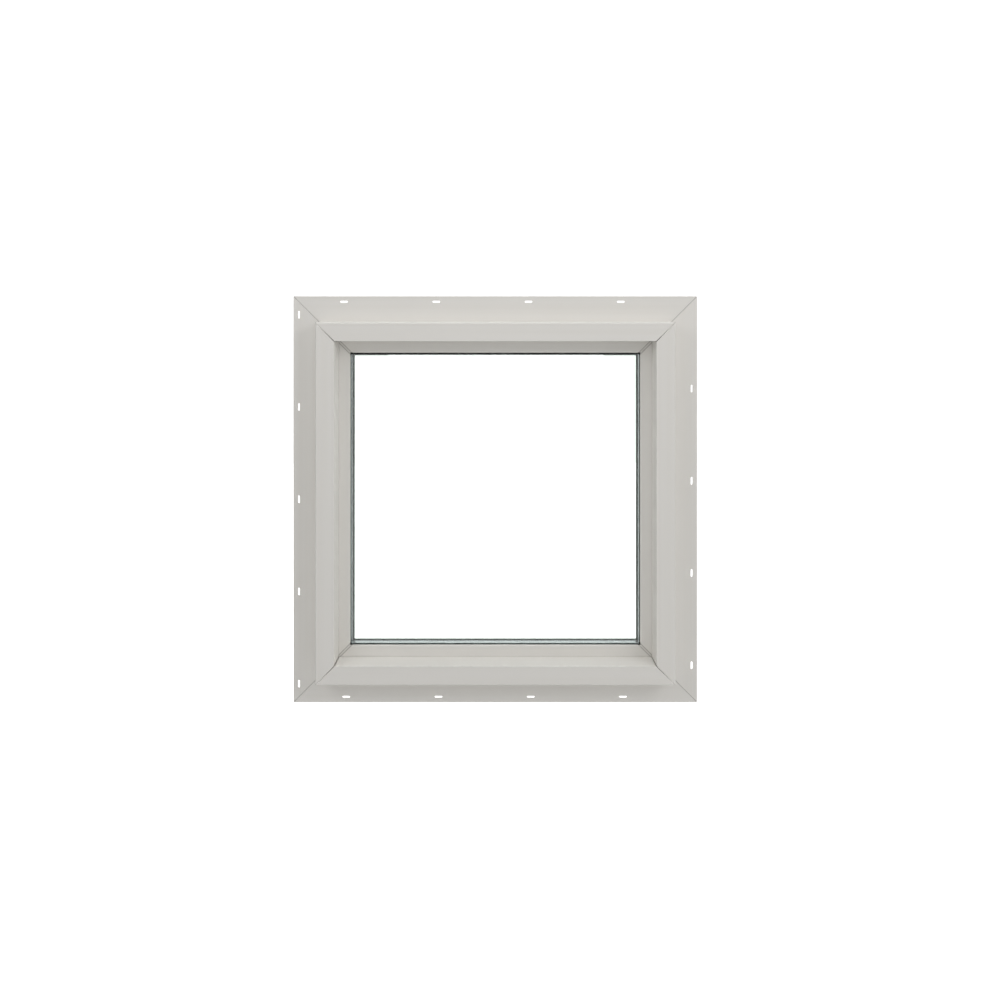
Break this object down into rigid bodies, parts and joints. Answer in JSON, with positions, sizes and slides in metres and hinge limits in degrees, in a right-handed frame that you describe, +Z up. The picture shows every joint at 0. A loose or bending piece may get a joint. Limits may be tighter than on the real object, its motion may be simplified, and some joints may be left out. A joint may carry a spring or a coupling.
{
  "type": "casement window",
  "caption": "White vinyl nail-fin casement window: a square frame with a double-glazed sash that swings into the room on side hinges and locks with a lever handle.",
  "frame": {"origin": "middle of the sill fin's nailing line, on the fin's back face, where it lies on the wall's sheathing", "axes": "+X right as seen from outside, +Y through the wall into the room, +Z up"},
  "size_m": [0.6826, 0.1222, 0.6866],
  "materials": {
    "vinyl": "extruded white vinyl, satin",
    "grey_rubber": "extruded dark grey bulb seal, matt",
    "black_rubber": "extruded black glazing gasket, matt",
    "clear_glass": "clear float glass",
    "spacer_aluminium": "mill finish spacer bar",
    "butyl_sealant": "black polysulphide edge seal",
    "hard_nylon": "moulded dark nylon",
    "white_enamel": "white powder coat",
    "stainless": "turned stainless steel",
    "zinc_plated_steel": "zinc plated"
  },
  "bodies": {
    "frame": {"frame_sill": "vinyl", "frame_head": "vinyl", "frame_jamb_left": "vinyl", "frame_jamb_right": "vinyl", "frame_weatherstrip": "grey_rubber", "hinge_upper_frame_leaf": "white_enamel", "hinge_upper_pin": "stainless", "hinge_upper_washer": "hard_nylon", "hinge_upper_frame_screw_1": "zinc_plated_steel", "hinge_upper_frame_screw_2": "zinc_plated_steel", "striker_upper": "zinc_plated_steel", "striker_upper_screw_1": "zinc_plated_steel", "striker_upper_screw_2": "zinc_plated_steel", "hinge_lower_frame_leaf": "white_enamel", "hinge_lower_pin": "stainless", "hinge_lower_washer": "hard_nylon", "hinge_lower_frame_screw_1": "zinc_plated_steel", "hinge_lower_frame_screw_2": "zinc_plated_steel", "striker_lower": "zinc_plated_steel", "striker_lower_screw_1": "zinc_plated_steel", "striker_lower_screw_2": "zinc_plated_steel"},
    "sash": {"sash_bottom_rail": "vinyl", "sash_top_rail": "vinyl", "sash_hinge_stile": "vinyl", "sash_lock_stile": "vinyl", "bead_bottom": "vinyl", "bead_top": "vinyl", "bead_hinge_side": "vinyl", "bead_lock_side": "vinyl", "sash_weatherstrip": "grey_rubber", "outer_glazing_gasket": "black_rubber", "inner_glazing_gasket": "black_rubber", "outer_pane": "clear_glass", "inner_pane": "clear_glass", "spacer_bar": "spacer_aluminium", "edge_sealant": "butyl_sealant", "setting_block_left": "hard_nylon", "setting_block_right": "hard_nylon", "hinge_upper_sash_leaf": "white_enamel", "hinge_upper_sash_screw_1": "zinc_plated_steel", "hinge_upper_sash_screw_2": "zinc_plated_steel", "hinge_lower_sash_leaf": "white_enamel", "hinge_lower_sash_screw_1": "zinc_plated_steel", "hinge_lower_sash_screw_2": "zinc_plated_steel", "lock_faceplate": "zinc_plated_steel", "faceplate_screw_1": "zinc_plated_steel", "faceplate_screw_2": "zinc_plated_steel", "gearbox_case": "zinc_plated_steel", "handle_screw_1": "zinc_plated_steel", "handle_screw_2": "zinc_plated_steel", "handle_base": "white_enamel", "handle_cover": "white_enamel"},
    "handle": {"handle_lever": "white_enamel", "handle_spindle": "zinc_plated_steel", "pinion": "zinc_plated_steel"},
    "lock_rod": {"drive_rod": "zinc_plated_steel", "lock_cam_upper": "stainless", "lock_cam_lower": "stainless"}
  },
  "joints": [
    {"name": "sash_swing", "type": "hinge", "parent": "frame", "child": "sash", "pos_m": [-0.2945, 0.061, 0.334], "axis": [0, 0, 1], "range_deg": [0, 100]},
    {"name": "handle_turn", "type": "hinge", "parent": "sash", "child": "handle", "pos_m": [0.2692, 0.0628, 0.334], "axis": [0, -1, 0], "range_deg": [0, 180]},
    {"name": "rod_slide", "type": "slide", "parent": "sash", "child": "lock_rod", "axis": [0, 0, 1], "range_m": [0, 0.0189]}
  ],
  "couplings": [
    {"joint": "rod_slide", "follows": "handle_turn", "m_per_rad": 0.006}
  ]
}
